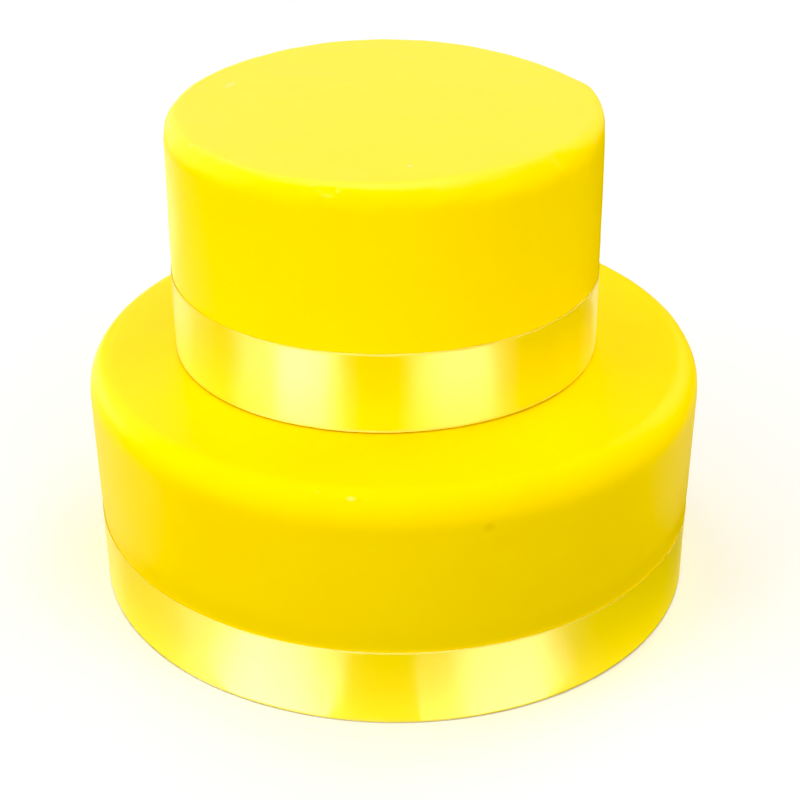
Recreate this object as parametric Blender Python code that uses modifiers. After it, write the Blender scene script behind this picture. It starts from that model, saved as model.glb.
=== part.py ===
"""A two-tier celebration cake: a small round tier standing on a larger one, each covered in rolled
sugar paste and tied round its foot with a satin ribbon.

Run with: blender --background --python part.py

Lengths are in metres and +Z is up. The origin is the middle of the lower tier's base, which is the
face that the cake rests on. The front is towards -Y. An azimuth is measured in degrees from +X
towards +Y, so -90 is the front and 90 is the back.
"""

import math
from dataclasses import dataclass

import bpy

# ---- Driving dimensions ----

LOWER_RADIUS = 0.1300
LOWER_HEIGHT = 0.1050
UPPER_RADIUS = 0.0900
UPPER_HEIGHT = 0.1023

RIBBON_WIDTH = 0.0348
RIBBON_THICKNESS = 0.0003
RIBBON_LAP = 0.020
RIBBON_SEAM_AZIMUTH = 90.0

# The tied ribbon draws the paste in by WAIST, and the paste swells out again over SWELL above it.
WAIST = 0.0007
SWELL = 0.006

# Left between pieces that touch, so that no two solids share a face.
CONTACT_GAP = 0.0003

# The sharp foot of each tier is eased by this much.
FOOT_BEVEL = 0.0010

# ---- How finely the turned shapes are divided ----

SIDES = 96
EDGE_STEPS = 7
TOP_RINGS = (0.30, 0.62, 0.86)
SIDE_RINGS = 4
# Faces that meet at more than this many degrees keep a crisp edge.
CRISP_EDGE = 40.0

# ---- Finishes: colours are linear red, green and blue ----

PASTE_YELLOW = (1.0, 0.745, 0.006)
PASTE_ROUGHNESS = 0.5
SATIN_YELLOW = (1.0, 0.760, 0.020)
SATIN_ROUGHNESS = 0.3
SATIN_SHEEN = 0.3


@dataclass(frozen=True)
class Lobes:
    """A slow wave round a tier: this many lobes, this high, with one of them at this azimuth."""

    count: int
    height: float
    azimuth: float


@dataclass(frozen=True)
class Tier:
    """One round tier as it was covered by hand: not quite round, not quite upright, not quite level.

    edge_radius and edge_drop are how far the rounding of its top edge reaches in and down.
    narrowing is how much smaller its radius is at the top than at the ribbon.
    rise_right and rise_back are the slopes of its top.
    side_lobes run the whole way up, and rim_lobes fade in over the rounding of the top edge.
    corner_azimuth is where the rim was pinched to a soft corner, which stands out by corner_height
    and fades within about corner_width degrees on either side.
    """

    name: str
    radius: float
    height: float
    centre_x: float
    centre_y: float
    base_z: float
    edge_radius: float
    edge_drop: float
    narrowing: float
    side_lobes: tuple
    rise_right: float = 0.0
    rise_back: float = 0.0
    rim_lobes: tuple = ()
    corner_azimuth: float = 0.0
    corner_height: float = 0.0
    corner_width: float = 1.0


LOWER_TIER = Tier(
    name="lower_tier",
    radius=LOWER_RADIUS,
    height=LOWER_HEIGHT,
    centre_x=0.0,
    centre_y=0.0,
    base_z=0.0,
    edge_radius=0.0103,
    edge_drop=0.0138,
    narrowing=-0.0003,
    side_lobes=(Lobes(2, 0.00044, -10.3), Lobes(3, 0.00058, -39.4)),
)

UPPER_TIER = Tier(
    name="upper_tier",
    radius=UPPER_RADIUS,
    height=UPPER_HEIGHT,
    centre_x=-0.0038,
    centre_y=0.0085,
    base_z=LOWER_HEIGHT + CONTACT_GAP,
    edge_radius=0.0065,
    edge_drop=0.0100,
    narrowing=0.0011,
    side_lobes=(Lobes(2, 0.00032, -49.1), Lobes(3, 0.00094, -26.5)),
    rise_right=0.0094,
    rise_back=-0.0036,
    rim_lobes=(
        Lobes(1, 0.00020, 32.3),
        Lobes(2, 0.00069, -4.1),
        Lobes(3, 0.00099, 1.6),
        Lobes(4, 0.00103, -5.9),
    ),
    corner_azimuth=13.0,
    corner_height=0.0016,
    corner_width=7.0,
)


def clear_scene():
    for old in list(bpy.context.scene.objects):
        bpy.data.objects.remove(old, do_unlink=True)


def ease(t):
    """Runs smoothly from 0 to 1 as t does."""
    t = min(max(t, 0.0), 1.0)
    return t * t * (3.0 - 2.0 * t)


def side_radius(tier, z):
    """The tier's mean radius at this height above its base. It is the same all the way under the ribbon."""
    above = max(z - RIBBON_WIDTH, 0.0)
    full = tier.radius + tier.narrowing * (0.5 - above / (tier.height - RIBBON_WIDTH))
    return full - WAIST * (1.0 - ease(above / SWELL))


def lobe_reach(lobes, azimuth):
    """How far these lobes stand out at this azimuth, which is in radians."""
    return sum(
        wave.height * math.cos(wave.count * (azimuth - math.radians(wave.azimuth)))
        for wave in lobes
    )


def corner_reach(tier, azimuth):
    """How far the pinched corner of the rim stands out at this azimuth, which is in radians."""
    away = math.degrees(azimuth) - tier.corner_azimuth
    away = (away + 180.0) % 360.0 - 180.0
    return tier.corner_height * math.exp(-((away / tier.corner_width) ** 2))


def tier_profile(tier):
    """Half of the tier's section, as radius and height, from the middle of its top to that of its base."""
    shoulder_z = tier.height - tier.edge_drop
    shoulder_radius = side_radius(tier, shoulder_z)
    flat_radius = shoulder_radius - tier.edge_radius

    points = [(0.0, tier.height)]
    points += [(flat_radius * share, tier.height) for share in TOP_RINGS]
    for step in range(EDGE_STEPS + 1):
        angle = math.radians(90.0 * (1.0 - step / EDGE_STEPS))
        points.append(
            (
                flat_radius + tier.edge_radius * math.cos(angle),
                shoulder_z + tier.edge_drop * math.sin(angle),
            )
        )

    swell_z = RIBBON_WIDTH + SWELL
    heights = [
        shoulder_z + (swell_z - shoulder_z) * ring / SIDE_RINGS
        for ring in range(1, SIDE_RINGS + 1)
    ]
    heights += [RIBBON_WIDTH + SWELL / 2.0, RIBBON_WIDTH, FOOT_BEVEL]
    points += [(side_radius(tier, z), z) for z in heights]
    points.append((side_radius(tier, 0.0) - FOOT_BEVEL, 0.0))
    points.append((0.0, 0.0))
    return points


def turned_mesh(name, profile):
    """Turns a half section round Z and returns the mesh."""
    outline = bpy.data.meshes.new(name)
    edges = [(i, i + 1) for i in range(len(profile) - 1)]
    outline.from_pydata([(radius, 0.0, z) for radius, z in profile], edges, [])
    blank = bpy.data.objects.new(name + "_section", outline)
    bpy.context.scene.collection.objects.link(blank)

    screw = blank.modifiers.new("turn", "SCREW")
    screw.axis = "Z"
    screw.angle = math.tau
    screw.steps = SIDES
    screw.render_steps = SIDES
    screw.use_merge_vertices = True
    screw.merge_threshold = 0.00001

    graph = bpy.context.evaluated_depsgraph_get()
    mesh = bpy.data.meshes.new_from_object(blank.evaluated_get(graph))
    mesh.name = name
    bpy.data.objects.remove(blank, do_unlink=True)
    return mesh


def shape_by_hand(mesh, tier):
    """Moves the points of a turned tier to the uneven outline and the sloping top of the real one."""
    shoulder_z = tier.height - tier.edge_drop
    for vertex in mesh.vertices:
        x, y, z = vertex.co
        radius = math.hypot(x, y)
        if radius == 0.0:
            continue
        azimuth = math.atan2(y, x)
        # 0 up to the shoulder, and 1 on the top.
        up_the_edge = min(max((z - shoulder_z) / tier.edge_drop, 0.0), 1.0)
        outwards = min(radius / tier.radius, 1.0)

        reach = lobe_reach(tier.side_lobes, azimuth) * outwards
        rim = lobe_reach(tier.rim_lobes, azimuth) + corner_reach(tier, azimuth)
        reach += rim * up_the_edge**2 * outwards

        x += reach * math.cos(azimuth)
        y += reach * math.sin(azimuth)
        z += (tier.rise_right * x + tier.rise_back * y) * up_the_edge
        vertex.co = (x, y, z)
    mesh.update()


def make_tier(tier, material):
    mesh = turned_mesh(tier.name, tier_profile(tier))
    shape_by_hand(mesh, tier)
    mesh.shade_smooth()
    mesh.set_sharp_from_angle(angle=math.radians(CRISP_EDGE))
    mesh.materials.append(material)
    body = bpy.data.objects.new(tier.name, mesh)
    body.location = (tier.centre_x, tier.centre_y, tier.base_z)
    return body


def ribbon_path(tier):
    """The middle of the ribbon's thickness, seen from above: once round the waist and over its own start."""
    waist_radius = side_radius(tier, RIBBON_WIDTH / 2.0)
    lap_angle = RIBBON_LAP / waist_radius
    start = math.radians(RIBBON_SEAM_AZIMUTH) - lap_angle / 2.0
    turn = math.tau + lap_angle
    steps = math.ceil(SIDES * turn / math.tau)
    layer = RIBBON_THICKNESS + CONTACT_GAP

    points = []
    for step in range(steps + 1):
        along = turn * step / steps
        azimuth = start + along
        radius = waist_radius + lobe_reach(tier.side_lobes, azimuth)
        radius += CONTACT_GAP + RIBBON_THICKNESS / 2.0
        # The closing end climbs on to the start of the ribbon within half a lap.
        radius += layer * ease((along - math.tau + lap_angle / 2.0) / (lap_angle / 2.0))
        points.append((radius * math.cos(azimuth), radius * math.sin(azimuth)))
    return points


def make_ribbon(name, tier, material):
    """A flat strip that stands on its edge round the tier."""
    path = ribbon_path(tier)
    strip = bpy.data.curves.new(name, "CURVE")
    strip.dimensions = "2D"
    strip.fill_mode = "NONE"
    strip.extrude = (RIBBON_WIDTH - CONTACT_GAP) / 2.0
    line = strip.splines.new("POLY")
    line.points.add(len(path) - 1)
    for point, (x, y) in zip(line.points, path):
        point.co = (x, y, 0.0, 1.0)
    strip.materials.append(material)

    ribbon = bpy.data.objects.new(name, strip)
    middle_z = CONTACT_GAP + strip.extrude
    ribbon.location = (0.0, 0.0, middle_z)
    cloth = ribbon.modifiers.new("thickness", "SOLIDIFY")
    cloth.thickness = RIBBON_THICKNESS
    cloth.offset = 0.0
    return ribbon


def plain_material(name, colour, roughness, sheen=0.0):
    material = bpy.data.materials.new(name)
    material.use_nodes = True
    shader = material.node_tree.nodes["Principled BSDF"]
    shader.inputs["Base Color"].default_value = (*colour, 1.0)
    shader.inputs["Roughness"].default_value = roughness
    shader.inputs["Metallic"].default_value = 0.0
    shader.inputs["Sheen Weight"].default_value = sheen
    material.diffuse_color = (*colour, 1.0)
    return material


def build_cake():
    clear_scene()
    cake = bpy.data.collections.new("celebration_cake")
    bpy.context.scene.collection.children.link(cake)
    root = bpy.data.objects.new("cake_origin", None)
    cake.objects.link(root)

    for level, tier in (("lower", LOWER_TIER), ("upper", UPPER_TIER)):
        paste = plain_material(level + "_sugar_paste", PASTE_YELLOW, PASTE_ROUGHNESS)
        body = make_tier(tier, paste)
        body.parent = root
        cake.objects.link(body)

        satin = plain_material(level + "_satin", SATIN_YELLOW, SATIN_ROUGHNESS, SATIN_SHEEN)
        ribbon = make_ribbon(level + "_ribbon", tier, satin)
        ribbon.parent = body
        cake.objects.link(ribbon)


build_cake()
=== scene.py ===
"""Dresses the two-tier celebration cake: rolled yellow sugar paste and yellow satin ribbon.

Lengths are in metres and +Z is up. The origin is the middle of the lower tier's base and the
front is towards -Y. An azimuth is in degrees from +X towards +Y, so -90 is the front and 90
is the back.
"""

import math
from dataclasses import dataclass

import bpy
from mathutils import Euler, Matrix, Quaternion, Vector


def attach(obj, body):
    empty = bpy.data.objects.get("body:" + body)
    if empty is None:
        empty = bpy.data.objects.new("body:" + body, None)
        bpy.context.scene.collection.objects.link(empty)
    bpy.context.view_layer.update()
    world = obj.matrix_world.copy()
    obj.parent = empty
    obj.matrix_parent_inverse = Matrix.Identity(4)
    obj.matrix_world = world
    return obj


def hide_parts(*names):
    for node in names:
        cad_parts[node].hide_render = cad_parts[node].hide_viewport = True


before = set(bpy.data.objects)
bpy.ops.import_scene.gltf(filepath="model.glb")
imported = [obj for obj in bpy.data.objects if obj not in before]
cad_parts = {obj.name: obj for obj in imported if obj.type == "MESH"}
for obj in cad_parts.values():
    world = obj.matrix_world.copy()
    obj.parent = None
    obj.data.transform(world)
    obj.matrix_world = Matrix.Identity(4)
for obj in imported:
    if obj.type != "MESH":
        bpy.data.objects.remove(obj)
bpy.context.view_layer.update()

MM = 0.001

# ---- Sizes of the cake ----

RIBBON_WIDTH = 34.8 * MM
RIBBON_LAP = 20.0 * MM
RIBBON_SEAM_AZIMUTH = 90.0

# The paste is drawn in by the waist behind its ribbon, and over the swell it comes out again.
WAIST = 0.4 * MM
SWELL = 12.0 * MM


@dataclass(frozen=True)
class Tier:
    """One round tier as it was covered by hand.

    Waves are (how many go round, how high they are, azimuth of one crest).
    """

    name: str
    radius: float
    height: float
    middle: tuple  # the middle of its base
    edge_radius: float  # how far in the rounded edge reaches
    edge_drop: float  # how far down the rounded edge reaches
    narrowing: float  # how much smaller its radius is at the top than at the ribbon
    side_waves: tuple
    rim_waves: tuple
    slope: tuple  # how steeply the top rises towards +X and +Y
    corner: tuple  # a soft corner of the rim: azimuth, how far out, how wide in degrees
    rim_lumps: float  # how deep the lumps along the rim are
    sides: int


LOWER = Tier(
    name="lower",
    radius=130.0 * MM,
    height=105.0 * MM,
    middle=(0.0, 0.0, 0.0),
    edge_radius=10.3 * MM,
    edge_drop=13.8 * MM,
    narrowing=-0.3 * MM,
    side_waves=((2, 0.44 * MM, -10.3), (3, 0.58 * MM, -39.4)),
    rim_waves=(),
    slope=(0.0, 0.0),
    corner=(0.0, 0.0, 1.0),
    rim_lumps=0.15 * MM,
    sides=480,
)

UPPER = Tier(
    name="upper",
    radius=90.0 * MM,
    height=102.3 * MM,
    middle=(-3.8 * MM, 8.5 * MM, 105.3 * MM),
    edge_radius=6.5 * MM,
    edge_drop=10.0 * MM,
    narrowing=1.1 * MM,
    side_waves=((2, 0.32 * MM, -49.1), (3, 0.94 * MM, -26.5)),
    rim_waves=(
        (1, 0.20 * MM, 32.3),
        (2, 0.69 * MM, -4.1),
        (3, 0.99 * MM, 1.6),
        (4, 1.03 * MM, -5.9),
    ),
    slope=(0.0094, -0.0036),
    corner=(13.0, 1.6 * MM, 7.0),
    rim_lumps=0.90 * MM,
    sides=384,
)


# ---- Working by hand ----


def deselect():
    if bpy.context.object and bpy.context.object.mode != "OBJECT":
        bpy.ops.object.mode_set(mode="OBJECT")
    bpy.ops.object.select_all(action="DESELECT")


def take(piece):
    """Makes this the one piece in hand."""
    deselect()
    piece.select_set(True)
    bpy.context.view_layer.objects.active = piece


def clear_choice(piece, kind):
    """Takes the piece with none of its faces or points chosen. kind is FACE or VERT."""
    take(piece)
    bpy.ops.object.mode_set(mode="EDIT")
    bpy.ops.mesh.select_mode(type=kind)
    bpy.ops.mesh.select_all(action="DESELECT")
    bpy.ops.object.mode_set(mode="OBJECT")


def turn_faces_out():
    """Turns every face of the piece in hand outwards."""
    bpy.ops.object.mode_set(mode="EDIT")
    bpy.ops.mesh.select_all(action="SELECT")
    bpy.ops.mesh.normals_make_consistent(inside=False)
    bpy.ops.object.mode_set(mode="OBJECT")


def finish_piece(piece, material, node):
    """Gives a piece its finish and smooth shading, fixes it to the root, and hides the solid it
    stands for.
    """
    piece.data.materials.append(material)
    take(piece)
    bpy.ops.object.shade_smooth_by_angle(angle=math.radians(40.0))
    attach(piece, "root")
    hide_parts(node)


def ease(t):
    """Goes from 0 to 1 as t does, starting and ending gently."""
    t = min(max(t, 0.0), 1.0)
    return t * t * (3.0 - 2.0 * t)


def waves_at(waves, azimuth):
    """How far these waves stand out at this azimuth, which is in radians."""
    return sum(
        height * math.cos(count * (azimuth - math.radians(crest)))
        for count, height, crest in waves
    )


def steps(low, high, spacing):
    """Evenly spaced numbers above low, up to and with high, at most this far apart."""
    count = math.ceil(abs(high - low) / spacing)
    return [low + (high - low) * i / count for i in range(1, count + 1)]


# ---- Tiers ----


def side_radius(tier, z):
    """The tier's mean radius at this height above its base."""
    above = max(z - RIBBON_WIDTH, 0.0)
    full = tier.radius + tier.narrowing * (0.5 - above / (tier.height - RIBBON_WIDTH))
    return full - WAIST * (1.0 - ease(above / SWELL))


def tier_rings(tier):
    """The rings that raise the tier, as radius and height, from its foot to its top's middle."""
    shoulder_z = tier.height - tier.edge_drop
    flat_radius = side_radius(tier, shoulder_z) - tier.edge_radius
    foot = side_radius(tier, 0.0)

    rings = [(foot - 1.0 * MM, 0.0), (foot - 0.3 * MM, 0.3 * MM), (foot, 1.0 * MM)]
    heights = steps(1.0 * MM, RIBBON_WIDTH, 4.0 * MM)
    heights += steps(RIBBON_WIDTH, RIBBON_WIDTH + SWELL, 1.2 * MM)
    heights += steps(RIBBON_WIDTH + SWELL, shoulder_z, 1.8 * MM)
    rings += [(side_radius(tier, z), z) for z in heights]
    for turn in steps(0.0, 90.0, 6.0):
        out, up = math.cos(math.radians(turn)), math.sin(math.radians(turn))
        rings.append(
            (flat_radius + tier.edge_radius * out, shoulder_z + tier.edge_drop * up)
        )
    rings += [(radius, tier.height) for radius in steps(flat_radius, 2.0 * MM, 1.8 * MM)]
    return rings


def raise_rings(name, rings, sides):
    """Raises a closed round body from a disc: its face is extruded and resized ring by ring."""
    deselect()
    radius, height = rings[0]
    bpy.ops.mesh.primitive_circle_add(
        vertices=sides, radius=radius, fill_type="TRIFAN", location=(0.0, 0.0, height)
    )
    body = bpy.context.object
    body.name = name
    bpy.ops.object.transform_apply(location=True, rotation=True, scale=True)
    bpy.ops.object.mode_set(mode="EDIT")
    bpy.ops.mesh.select_all(action="SELECT")
    for next_radius, next_height in rings[1:]:
        bpy.ops.mesh.extrude_region_move(
            TRANSFORM_OT_translate={"value": (0.0, 0.0, next_height - height)}
        )
        share = next_radius / radius
        bpy.ops.transform.resize(
            value=(share, share, 1.0), center_override=(0.0, 0.0, next_height)
        )
        radius, height = next_radius, next_height
    turn_faces_out()
    return body


def shape_by_hand(body, tier):
    """Moves the points of a true round tier to the uneven outline and top of the real one."""
    shoulder_z = tier.height - tier.edge_drop
    corner_azimuth, corner_height, corner_width = tier.corner
    for point in body.data.vertices:
        x, y, z = point.co
        azimuth = math.atan2(y, x)
        up_the_edge = min(max((z - shoulder_z) / tier.edge_drop, 0.0), 1.0)
        outwards = min(math.hypot(x, y) / tier.radius, 1.0)

        away = (math.degrees(azimuth) - corner_azimuth + 180.0) % 360.0 - 180.0
        rim = corner_height * math.exp(-((away / corner_width) ** 2))
        rim += waves_at(tier.rim_waves, azimuth)
        reach = (waves_at(tier.side_waves, azimuth) + rim * up_the_edge**2) * outwards

        x += reach * math.cos(azimuth)
        y += reach * math.sin(azimuth)
        z += (tier.slope[0] * x + tier.slope[1] * y) * up_the_edge
        point.co = Vector((x, y, z)) + Vector(tier.middle)
    body.data.update()


def rumple(body, group, size, depth, level):
    """Works soft clouds of this size and depth into the paste of the vertex group of this name.

    A cloud brighter than the level stands out, and a darker one sinks in.
    """
    texture = bpy.data.textures.new(f"{body.name}_{group}_clouds", "CLOUDS")
    texture.noise_scale = size
    texture.noise_depth = 1
    clouds = body.modifiers.new("clouds", "DISPLACE")
    clouds.texture = texture
    clouds.texture_coords = "LOCAL"
    clouds.strength = depth
    clouds.mid_level = level
    clouds.vertex_group = group
    bpy.ops.object.modifier_apply(modifier=clouds.name)


def ripple(body, tier):
    """Leaves the smoothing tool's faint waves in the paste, fading out above the ribbon."""
    group = body.vertex_groups.new(name="above_ribbon")
    start = tier.middle[2] + RIBBON_WIDTH + 1.0 * MM
    for point in body.data.vertices:
        weight = ease((point.co.z - start) / SWELL)
        if weight > 0.0:
            group.add([point.index], weight, "REPLACE")
    rumple(body, "above_ribbon", size=34.0 * MM, depth=0.36 * MM, level=0.7)
    rumple(body, "above_ribbon", size=9.0 * MM, depth=0.07 * MM, level=0.7)
    body.vertex_groups.clear()


def lump_rim(body, tier):
    """Leaves the rim of the tier softly lumpy, as it was pinched and patted into shape."""
    group = body.vertex_groups.new(name="rim")
    rim_z = tier.middle[2] + tier.height - 0.4 * tier.edge_drop
    lumpy_height = 0.8 * tier.edge_drop
    lumpy_width = 2.2 * tier.edge_radius
    for point in body.data.vertices:
        from_rim = tier.radius - (point.co - Vector(tier.middle)).xy.length
        weight = ease(1.0 - abs(point.co.z - rim_z) / lumpy_height)
        weight *= ease(1.0 - from_rim / lumpy_width)
        if weight > 0.0:
            group.add([point.index], weight, "REPLACE")
    rumple(body, "rim", size=11.0 * MM, depth=tier.rim_lumps, level=0.55)
    body.vertex_groups.clear()


def on_tier(tier, radius, azimuth, height):
    """A place on a tier: millimetres from its middle, azimuth, and millimetres above its base."""
    angle = math.radians(azimuth)
    around = Vector((radius * math.cos(angle), radius * math.sin(angle), height))
    return around * MM + Vector(tier.middle)


def soften(body, place, reach):
    """Cuts the faces round this place smaller, so that a little mark can be worked there."""
    clear_choice(body, "FACE")
    for face in body.data.polygons:
        face.select = (face.center - place).length < reach
    bpy.ops.object.mode_set(mode="EDIT")
    bpy.ops.mesh.subdivide(number_cuts=3, smoothness=0.0)
    bpy.ops.object.mode_set(mode="OBJECT")


def press(body, place, out, reach):
    """Pushes the paste out at this place, or in where out is negative, fading within reach."""
    clear_choice(body, "VERT")
    touched = min(body.data.vertices, key=lambda point: (point.co - place).length_squared)
    touched.select = True
    push = touched.normal * out
    bpy.ops.object.mode_set(mode="EDIT")
    bpy.ops.transform.translate(
        value=push,
        use_proportional_edit=True,
        proportional_edit_falloff="SMOOTH",
        proportional_size=reach,
    )
    bpy.ops.object.mode_set(mode="OBJECT")


def mark_lower(body, tier):
    """Two blisters of air under the rim, a pit in the side, and the dents of fingertips."""
    soften(body, on_tier(tier, 124.9, -97.5, 102.5), 7.0 * MM)
    for azimuth in (-98.6, -97.5, -96.4):
        press(body, on_tier(tier, 124.9, azimuth, 102.5), 0.30 * MM, 1.9 * MM)
    small_blister = on_tier(tier, 123.7, -103.3, 103.4)
    soften(body, small_blister, 4.0 * MM)
    press(body, small_blister, 0.16 * MM, 1.5 * MM)
    pit = on_tier(tier, 129.7, -74.2, 89.5)
    soften(body, pit, 8.0 * MM)
    press(body, pit, -0.22 * MM, 3.4 * MM)
    for radius, azimuth, height, depth, reach in (
        (129.1, -97.2, 83.5, 0.15, 6.0),
        (129.8, -70.2, 79.0, 0.20, 6.5),
        (130.2, -61.1, 74.6, 0.20, 7.0),
    ):
        fingertip = on_tier(tier, radius, azimuth, height)
        press(body, fingertip, -depth * MM, reach * MM)


def mark_upper(body, tier):
    """A pinched fold and a dip in the rim, and small pimples on the top."""
    soften(body, on_tier(tier, 87.9, -103.4, 98.8), 9.0 * MM)
    for azimuth in (-106.0, -104.6, -103.2, -101.8):
        press(body, on_tier(tier, 86.9, azimuth, 100.0), -0.13 * MM, 1.7 * MM)
        press(body, on_tier(tier, 88.3, azimuth, 98.0), 0.10 * MM, 1.7 * MM)
    press(body, on_tier(tier, 87.4, -100.8, 99.5), 0.16 * MM, 1.6 * MM)
    soften(body, on_tier(tier, 87.9, -38.5, 100.5), 9.0 * MM)
    press(body, on_tier(tier, 88.0, -40.5, 100.3), -0.60 * MM, 5.5 * MM)
    press(body, on_tier(tier, 88.1, -34.0, 100.8), 0.35 * MM, 5.0 * MM)
    for radius, azimuth, height, out, reach in (
        (69.1, -81.7, 102.6, 0.30, 1.5),
        (85.3, -149.5, 101.2, 0.22, 1.3),
        (69.3, 158.5, 101.6, 0.20, 2.6),
    ):
        pimple = on_tier(tier, radius, azimuth, height)
        soften(body, pimple, 2.5 * reach * MM)
        press(body, pimple, out * MM, reach * MM)


def make_tier(tier, material, mark):
    body = raise_rings(tier.name + "_cake", tier_rings(tier), tier.sides)
    shape_by_hand(body, tier)
    take(body)
    ripple(body, tier)
    lump_rim(body, tier)
    mark(body, tier)
    finish_piece(body, material, tier.name + "_tier")
    return body


# ---- Ribbons ----

CLOTH_THICKNESS = 0.24 * MM
SELVEDGE_WIDTH = 0.7 * MM
SELVEDGE_THICKNESS = 0.36 * MM
SNUG_GAP = 0.06 * MM
SLOW_WAVE = 0.07 * MM
QUICK_WAVE = 0.01 * MM


def ribbon_turn(tier):
    """The angle that the ribbon goes round by, lap and all, and its flat length."""
    waist = side_radius(tier, RIBBON_WIDTH / 2.0)
    turn = math.tau + RIBBON_LAP / waist
    return turn, turn * waist


def ribbon_heights(rows):
    """How high each row of the strip's points lies: close together along both woven edges."""
    edge = [0.0, 0.12 * MM, 0.30 * MM, 0.50 * MM, SELVEDGE_WIDTH, 1.0 * MM]
    middle_rows = rows - 2 * len(edge)
    span = RIBBON_WIDTH - 2.0 * edge[-1]
    middle = [edge[-1] + span * (i + 1) / (middle_rows + 1) for i in range(middle_rows)]
    return edge + middle + [RIBBON_WIDTH - height for height in reversed(edge)]


def cloth_thickness(height):
    """How thick the satin is at this height: thin, with a rounded woven edge on both sides."""
    across = min(height, RIBBON_WIDTH - height) / SELVEDGE_WIDTH
    if across >= 1.0:
        return CLOTH_THICKNESS
    roundness = math.sqrt(max(1.0 - (2.0 * across - 1.0) ** 2, 0.05))
    return CLOTH_THICKNESS + (SELVEDGE_THICKNESS - CLOTH_THICKNESS) * roundness


def ribbon_lie(tier, azimuth, height):
    """How far the satin stands off the paste here: it lies in faint waves, fullest halfway up."""
    fullness = 0.2 + 0.8 * math.sin(math.pi * height / RIBBON_WIDTH)
    slow = 1.0 + math.sin(11.0 * azimuth + 2.0 * tier.radius / RIBBON_WIDTH)
    quick = 1.0 + math.sin(23.0 * azimuth + 40.0 * height / RIBBON_WIDTH / 12.0)
    return SNUG_GAP + SLOW_WAVE * slow * fullness + QUICK_WAVE * quick


def make_ribbon(tier, material):
    """A flat strip of satin, cut to length, and then wrapped round the foot of the tier."""
    turn, length = ribbon_turn(tier)
    waist = side_radius(tier, RIBBON_WIDTH / 2.0)
    lap_angle = turn - math.tau
    start = math.radians(RIBBON_SEAM_AZIMUTH) - lap_angle / 2.0
    layer = SELVEDGE_THICKNESS + SNUG_GAP

    deselect()
    bpy.ops.mesh.primitive_grid_add(
        x_subdivisions=math.ceil(length / (1.6 * MM)), y_subdivisions=22, size=1.0
    )
    strip = bpy.context.object
    strip.name = tier.name + "_satin_ribbon"
    rows = sorted({round(point.co.y, 5) for point in strip.data.vertices})
    height_of = dict(zip(rows, ribbon_heights(len(rows))))
    thickness = strip.vertex_groups.new(name="thickness")
    for point in strip.data.vertices:
        along = (point.co.x + 0.5) * turn
        height = height_of[round(point.co.y, 5)]
        azimuth = start + along
        radius = waist + waves_at(tier.side_waves, azimuth) + SELVEDGE_THICKNESS / 2.0
        radius += ribbon_lie(tier, azimuth, height)
        # The closing end climbs on to the start of the ribbon within half a lap.
        radius += layer * ease((along - math.tau + lap_angle / 2.0) / (lap_angle / 2.0))
        point.co = Vector(tier.middle) + Vector(
            (radius * math.cos(azimuth), radius * math.sin(azimuth), 0.1 * MM + height)
        )
        share = cloth_thickness(height) / SELVEDGE_THICKNESS
        thickness.add([point.index], share, "REPLACE")
    strip.data.update()

    take(strip)
    cloth = strip.modifiers.new("cloth", "SOLIDIFY")
    cloth.thickness = SELVEDGE_THICKNESS
    cloth.offset = 0.0
    cloth.vertex_group = thickness.name
    bpy.ops.object.modifier_apply(modifier=cloth.name)
    strip.vertex_groups.clear()
    turn_faces_out()
    finish_piece(strip, material, tier.name + "_ribbon")
    return strip


# ---- Finishes ----


def linear(code):
    """The linear colour of an sRGB hex code such as "FFE000"."""
    shares = [int(code[i : i + 2], 16) / 255.0 for i in (0, 2, 4)]
    parts = [
        s / 12.92 if s <= 0.04045 else ((s + 0.055) / 1.055) ** 2.4 for s in shares
    ]
    return (*parts, 1.0)


def add(tree, kind, values=(), links=(), **settings):
    """Adds a node, with its settings, the values of its sockets and what is linked to them."""
    node = tree.nodes.new(kind)
    for key, value in settings.items():
        setattr(node, key, value)
    for socket, value in dict(values).items():
        node.inputs[socket].default_value = value
    for socket, source in dict(links).items():
        tree.links.new(source, node.inputs[socket])
    return node


def per_metre(size):
    """The scale that makes a noise pattern's features about this size."""
    return 1.0 / size


def new_material(name):
    material = bpy.data.materials.new(name)
    material.use_nodes = True
    material.node_tree.nodes.clear()
    return material, material.node_tree


def speck(tree, place, middle, size, turn, amount):
    """How much a small oval speck shows here: this amount in its middle, fading to none.

    Its middle and its size are in millimetres, and it is turned this many degrees about +Z.
    """
    oval = add(
        tree,
        "ShaderNodeMapping",
        {
            "Location": [millimetres * MM for millimetres in middle],
            "Rotation": (0.0, 0.0, math.radians(turn)),
            "Scale": [millimetres * MM for millimetres in size],
        },
        {"Vector": place},
        vector_type="TEXTURE",
    )
    away = add(
        tree, "ShaderNodeVectorMath", links={0: oval.outputs[0]}, operation="LENGTH"
    )
    shown = add(
        tree,
        "ShaderNodeMapRange",
        {"From Min": 1.0, "From Max": 0.15, "To Min": 0.0, "To Max": amount},
        {"Value": away.outputs["Value"]},
        interpolation_type="SMOOTHSTEP",
    )
    return shown.outputs[0]


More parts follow.
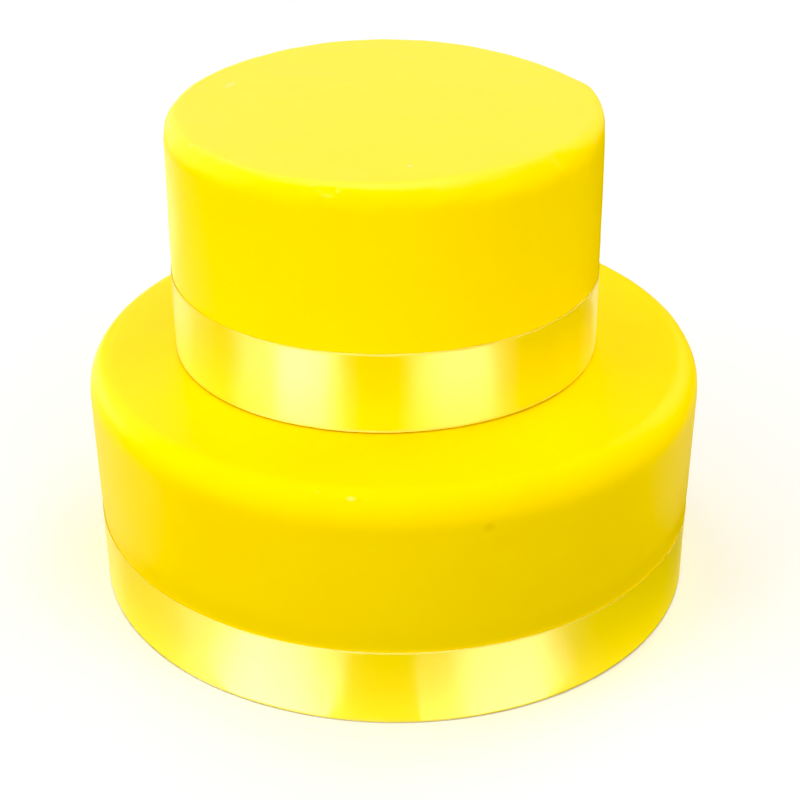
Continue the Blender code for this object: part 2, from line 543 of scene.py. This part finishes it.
def sugar_paste():
    """Sugar paste, coloured right through, rolled out on icing sugar and smoothed on by hand.

    It is a soft, matt, slightly translucent yellow with a fine grain, faintly uneven where the
    colour was kneaded in, paler in a few specks, with a painted highlight on the lower tier's two
    blisters and painted shade in its one pit.
    """
    material, tree = new_material("rolled_sugar_paste")
    place = add(tree, "ShaderNodeTexCoord").outputs["Object"]
    kneading = add(
        tree,
        "ShaderNodeTexNoise",
        {"Scale": per_metre(22.0 * MM), "Detail": 3.0, "Roughness": 0.55},
        {"Vector": place},
    )
    paste = add(
        tree,
        "ShaderNodeMix",
        {6: linear("FFD902"), 7: linear("FFDE02")},
        {0: kneading.outputs[0]},
        data_type="RGBA",
    )
    # Paler specks, and a painted highlight on each of the lower tier's two blisters.
    pale_specks_and_highlights = (
        # A rub and two fine specks on the upper tier's top and rim.
        speck(tree, place, (-67.9, 34.3, 206.9), (5.4, 2.0, 3.0), 68.0, 0.20),
        speck(tree, place, (6.2, -59.9, 207.9), (1.3, 1.8, 2.0), 0.0, 0.22),
        speck(tree, place, (-77.3, -34.8, 206.5), (0.9, 1.5, 2.0), 0.0, 0.18),
        # The lower tier's two blisters, with a painted highlight where their rise catches the
        # light.
        speck(tree, place, (-16.3, -123.8, 102.6), (2.6, 1.5, 1.5), -7.5, 0.14),
        speck(tree, place, (-28.6, -120.4, 103.4), (1.2, 1.2, 1.2), 0.0, 0.05),
        # The upper rim's pinched fold and the end of it.
        speck(tree, place, (-24.2, -76.9, 203.3), (4.6, 1.3, 1.3), -13.0, 0.04),
        speck(tree, place, (-20.4, -77.0, 205.0), (1.3, 1.3, 1.6), 0.0, 0.045),
    )
    most = pale_specks_and_highlights[0]
    for sugar in pale_specks_and_highlights[1:]:
        most = add(
            tree, "ShaderNodeMath", links={0: most, 1: sugar}, operation="MAXIMUM"
        ).outputs[0]
    # The paste is mixed towards pale cream in these specks and painted highlights.
    paled_and_highlit = add(
        tree,
        "ShaderNodeMix",
        {7: linear("FFF8E0")},
        {0: most, 6: paste.outputs[2]},
        data_type="RGBA",
    )
    # Painted shade: the paste is mixed towards deep orange in its one pit, standing in for the
    # shade in its hollow.
    pit = speck(tree, place, (35.3, -124.8, 89.5), (3.2, 3.2, 3.2), 0.0, 0.14)
    shaded_in_pit = add(
        tree,
        "ShaderNodeMix",
        {7: linear("C08A00")},
        {0: pit, 6: paled_and_highlit.outputs[2]},
        data_type="RGBA",
    )
    # The paste's real grain, about 0.2 mm, is too fine to show, so it is drawn at 0.9 mm.
    grain = add(
        tree,
        "ShaderNodeTexNoise",
        {"Scale": per_metre(0.9 * MM), "Detail": 2.0},
        {"Vector": place},
    )
    bump = add(
        tree,
        "ShaderNodeBump",
        {"Strength": 0.25, "Distance": 0.03 * MM},
        {"Height": grain.outputs[0]},
    )
    shader = add(
        tree,
        "ShaderNodeBsdfPrincipled",
        {
            "Roughness": 0.42,
            "IOR": 1.4,
            "Specular IOR Level": 0.25,
            "Subsurface Weight": 0.10,
            "Subsurface Scale": 1.5 * MM,
            "Subsurface Radius": (1.0, 0.6, 0.15),
        },
        {"Base Color": shaded_in_pit.outputs[2], "Normal": bump.outputs[0]},
    )
    add(tree, "ShaderNodeOutputMaterial", links={"Surface": shader.outputs[0]})
    return material


def satin(tier):
    """Polyester ribbon in satin weave: its long smooth threads float over the cloth's face.

    They gather the light into bright bands that stand across the ribbon, with deep yellow
    between them.
    """
    material, tree = new_material(tier.name + "_polyester_satin")
    length = ribbon_turn(tier)[1]
    cloth = add(tree, "ShaderNodeUVMap", uv_map="UVMap").outputs[0]
    # Real threads lie about 0.1 mm apart, too fine to show, so they are drawn 0.26 mm apart.
    # Each is drawn about 18 mm long.
    lie = add(
        tree,
        "ShaderNodeMapping",
        {"Scale": (length / (18.0 * MM), RIBBON_WIDTH / (0.26 * MM), 1.0)},
        {"Vector": cloth},
    )
    threads = add(
        tree,
        "ShaderNodeTexNoise",
        {"Scale": 1.0, "Detail": 0.0},
        {"Vector": lie.outputs[0]},
    )
    relief = add(
        tree,
        "ShaderNodeBump",
        {"Strength": 1.0, "Distance": 0.08 * MM},
        {"Height": threads.outputs[0]},
    )
    along = add(tree, "ShaderNodeTangent", direction_type="UV_MAP", uv_map="UVMap")
    shader = add(
        tree,
        "ShaderNodeBsdfPrincipled",
        {
            "Base Color": linear("F6DA02"),
            "Roughness": 0.4,
            "IOR": 1.57,
            "Specular IOR Level": 1.0,
            "Anisotropic": 1.0,
            "Anisotropic Rotation": 0.25,
        },
        {"Tangent": along.outputs[0], "Normal": relief.outputs[0]},
    )
    add(tree, "ShaderNodeOutputMaterial", links={"Surface": shader.outputs[0]})
    return material


def matt_white():
    """Matt white paint, which shows soft shade and no gleam."""
    material, tree = new_material("matt_white_floor")
    shader = add(
        tree,
        "ShaderNodeBsdfPrincipled",
        {"Base Color": linear("FAFAFA"), "Roughness": 0.8, "Specular IOR Level": 0.2},
    )
    add(tree, "ShaderNodeOutputMaterial", links={"Surface": shader.outputs[0]})
    return material


# ---- Studio ----


def soft_light(
    name, place, turn, size, brightness, gleam_on=(), matt_on=(), shape="RECTANGLE"
):
    """A soft white panel, this many times as bright as lit white paper.

    A plain one lights what is matt. One with gleam_on is mirrored in those pieces and lights
    nothing, and one with matt_on lights what is matt in those pieces alone.
    """
    light = bpy.data.lights.new(name, "AREA")
    light.shape = shape
    light.size, light.size_y = size
    area = light.size * light.size_y * (1.0 if shape == "RECTANGLE" else math.pi / 4.0)
    light.energy = math.pi * area * brightness
    lamp = bpy.data.objects.new(name, light)
    bpy.context.scene.collection.objects.link(lamp)
    lamp.location = place
    lamp.rotation_euler = turn
    lamp.visible_camera = False
    lamp.visible_diffuse = not gleam_on
    lamp.visible_glossy = bool(gleam_on)
    if gleam_on or matt_on:
        shines_on = bpy.data.collections.new(name + "_shines_on")
        for piece in gleam_on or matt_on:
            shines_on.objects.link(piece)
        lamp.light_linking.receiver_collection = shines_on


def studio_light(
    name, azimuth, elevation, width, height, brightness, gleam_on=(), matt_on=()
):
    """A soft light on a stand, 1.6 m from the middle of the cake and facing it."""
    target = Vector((0.0, 0.0, 0.1))
    tilt = Euler((0.0, -math.radians(elevation), math.radians(azimuth)))
    place = target + Vector((1.6, 0.0, 0.0)) @ tilt.to_matrix().transposed()
    turn = (target - place).to_track_quat("-Z", "Y").to_euler()
    soft_light(name, place, turn, (width, height), brightness, gleam_on, matt_on)


def floor_light(
    name, middle, size, brightness, gleam_on=(), matt_on=(), shape="RECTANGLE"
):
    """A soft light that lies on the floor, face up."""
    face_up = (math.pi, 0.0, 0.0)
    place = (*middle, 1.0 * MM)
    soft_light(name, place, face_up, size, brightness, gleam_on, matt_on, shape)


def light_cake(cakes, ribbons):
    lower_cake, upper_cake = cakes
    lower_ribbon, upper_ribbon = ribbons

    # Soft lights all round give the paste its even yellow, brighter on the left.
    studio_light("left_key", -148.0, 48.0, 1.1, 1.2, 0.8)
    studio_light("left_low", -150.0, 10.0, 1.1, 0.9, 6.2)
    studio_light("right_key", -48.0, 48.0, 1.2, 1.2, 1.4)
    studio_light("right_low", -48.0, 10.0, 1.2, 0.9, 4.4)
    studio_light("front_low", -97.0, 20.0, 0.9, 0.8, 1.2)
    studio_light("upper_front_fill", -90.0, 50.0, 1.0, 0.8, 0.8, matt_on=[upper_cake])
    studio_light("overhead", 90.0, 85.0, 1.2, 0.9, 2.2)
    studio_light("lower_back_left", 140.0, 35.0, 1.1, 1.0, 1.2, matt_on=[lower_cake])
    studio_light("lower_back_right", 40.0, 35.0, 1.1, 1.0, 1.4, matt_on=[lower_cake])
    studio_light("left_side", 170.0, 20.0, 1.1, 1.1, 1.7)
    studio_light("right_side", 0.0, 30.0, 1.1, 1.2, 0.7)
    studio_light("back_left", 125.0, 24.0, 1.1, 1.3, 1.8)
    studio_light("back_right", 48.0, 22.0, 1.2, 1.3, 2.7)

    # A white backdrop gives the tops and the rims their pale sheen.
    studio_light("backdrop", 92.0, 14.0, 1.0, 1.3, 1.5, [upper_cake])
    studio_light("left_backdrop", 130.0, 14.0, 0.9, 1.3, 2.2, [upper_cake])
    studio_light("right_backdrop", 52.0, 14.0, 0.9, 1.3, 0.8, [upper_cake])
    studio_light("high_backdrop", 90.0, 58.0, 1.6, 0.9, 3.4, [upper_cake])
    studio_light("overhead_sheen", -90.0, 80.0, 1.6, 0.9, 8.4, [upper_cake])
    studio_light("upper_left_sheen", 168.0, 20.0, 1.0, 0.6, 1.2, [upper_cake])
    studio_light("lower_backdrop", 96.0, 14.0, 1.0, 1.3, 0.95, [lower_cake])
    studio_light("left_edge_sheen", 146.0, 4.0, 0.66, 0.4, 2.9, [lower_cake])
    studio_light("left_edge_fade", 152.0, 4.0, 1.1, 0.4, 1.1, [lower_cake])
    studio_light("right_edge_sheen", 30.0, 4.0, 0.8, 0.4, 0.2, [lower_cake])

    # Lights on the floor leave pale edges on the sides and brighten the lower ribbon's foot.
    floor_light("left_near_edge", (-0.27, 0.09), (0.24, 0.36), 0.9, cakes)
    floor_light("left_far_edge", (-0.22, 0.40), (0.44, 0.34), 2.0, cakes)
    floor_light("upper_left_edge", (-0.25, 0.20), (0.30, 0.30), 2.2, [upper_cake])
    floor_light("right_near_edge", (0.25, 0.08), (0.16, 0.26), 0.6, [lower_cake])
    floor_light("left_foot", (-0.065, -0.135), (0.075, 0.05), 5.5, [lower_ribbon])
    floor_light("right_foot", (0.062, -0.140), (0.064, 0.05), 3.8, [lower_ribbon])
    floor_light("right_foot_fade", (0.046, -0.140), (0.072, 0.05), 2.5, [lower_ribbon])
    floor_light(
        "foot_ring", (0.0, 0.0), (0.32, 0.32), 1.0, matt_on=[lower_ribbon], shape="DISK"
    )

    # Tall strips give the satin its bright bands.
    studio_light("upper_left_strip", -129.0, 9.0, 0.76, 2.6, 7.6, [upper_ribbon])
    studio_light("upper_left_fade", -138.0, 9.0, 1.7, 2.6, 2.5, [upper_ribbon])
    studio_light("upper_right_strip", -54.0, 9.0, 0.80, 2.6, 2.0, [upper_ribbon])
    studio_light("upper_right_fade", -58.0, 9.0, 1.2, 2.6, 4.2, [upper_ribbon])
    studio_light("lower_left_strip", -131.5, 9.0, 0.74, 2.6, 5.2, [lower_ribbon])
    studio_light("lower_left_fade", -139.0, 9.0, 1.7, 2.6, 2.1, [lower_ribbon])
    studio_light("lower_right_strip", -53.0, 9.0, 0.76, 2.6, 1.7, [lower_ribbon])
    studio_light("lower_right_fade", -54.0, 9.0, 0.95, 2.6, 3.2, [lower_ribbon])
    studio_light("lower_far_left_strip", -165.0, 9.0, 1.2, 2.6, 0.8, [lower_ribbon])
    studio_light("left_side_strip", 164.0, 9.0, 0.6, 2.6, 0.5, ribbons)
    studio_light("right_side_strip", -24.0, 9.0, 0.5, 2.6, 0.15, [lower_ribbon])
    studio_light("back_left_strip", 140.0, 9.0, 0.9, 2.6, 1.6, ribbons)
    studio_light("back_right_strip", 48.0, 9.0, 0.3, 2.6, 2.3, ribbons)

    # A low light from the front brightens the deep yellow between the lower ribbon's bands.
    studio_light("lower_glow", -90.0, 5.0, 0.9, 0.3, 2.0, matt_on=[lower_ribbon])


def make_world():
    """A plain white surround, which is only seen: the soft lights do all the lighting."""
    world = bpy.data.worlds.new("white_studio")
    bpy.context.scene.world = world
    world.use_nodes = True
    tree = world.node_tree
    tree.nodes.clear()
    white = add(
        tree, "ShaderNodeBackground", {"Color": linear("FFFFFF"), "Strength": 1.0}
    )
    add(tree, "ShaderNodeOutputWorld", links={"Surface": white.outputs[0]})
    world.cycles_visibility.diffuse = False
    world.cycles_visibility.glossy = False


def make_floor():
    """A round white floor, just under the cake, that throws no light back up at it."""
    deselect()
    bpy.ops.mesh.primitive_circle_add(
        vertices=96, radius=1.2, fill_type="NGON", location=(0.0, 0.0, -0.2 * MM)
    )
    floor = bpy.context.object
    floor.name = "studio_floor"
    floor.visible_glossy = False
    floor.visible_diffuse = False
    floor.data.materials.append(matt_white())


def make_studio(cakes, ribbons):
    view = bpy.context.scene.view_settings
    view.view_transform = "Standard"
    # The yellows keep their full depth: this much white haze is taken out of the picture.
    view.use_curve_mapping = True
    view.curve_mapping.black_level = (0.02, 0.02, 0.02)
    view.curve_mapping.update()
    make_world()
    light_cake(cakes, ribbons)
    make_floor()


def make_camera():
    """Stands the camera where the photograph was taken from, looking down at the cake."""
    look_down = 29.74
    swing = -0.0037
    roll = -0.0036
    data = bpy.data.cameras.new("photo_camera")
    data.sensor_width = 36.0
    data.lens = 76.5
    data.clip_start = 0.01
    camera = bpy.data.objects.new("photo_camera", data)
    bpy.context.scene.collection.objects.link(camera)
    camera.location = (0.0, -0.6507, 0.4455)
    tilt = Euler((math.radians(90.0 - look_down), 0.0, swing)).to_quaternion()
    camera.rotation_mode = "QUATERNION"
    camera.rotation_quaternion = tilt @ Quaternion((0.0, 0.0, 1.0), roll)
    bpy.context.scene.camera = camera


make_camera()
paste = sugar_paste()
cakes = [make_tier(LOWER, paste, mark_lower), make_tier(UPPER, paste, mark_upper)]
ribbons = [make_ribbon(tier, satin(tier)) for tier in (LOWER, UPPER)]
make_studio(cakes, ribbons)
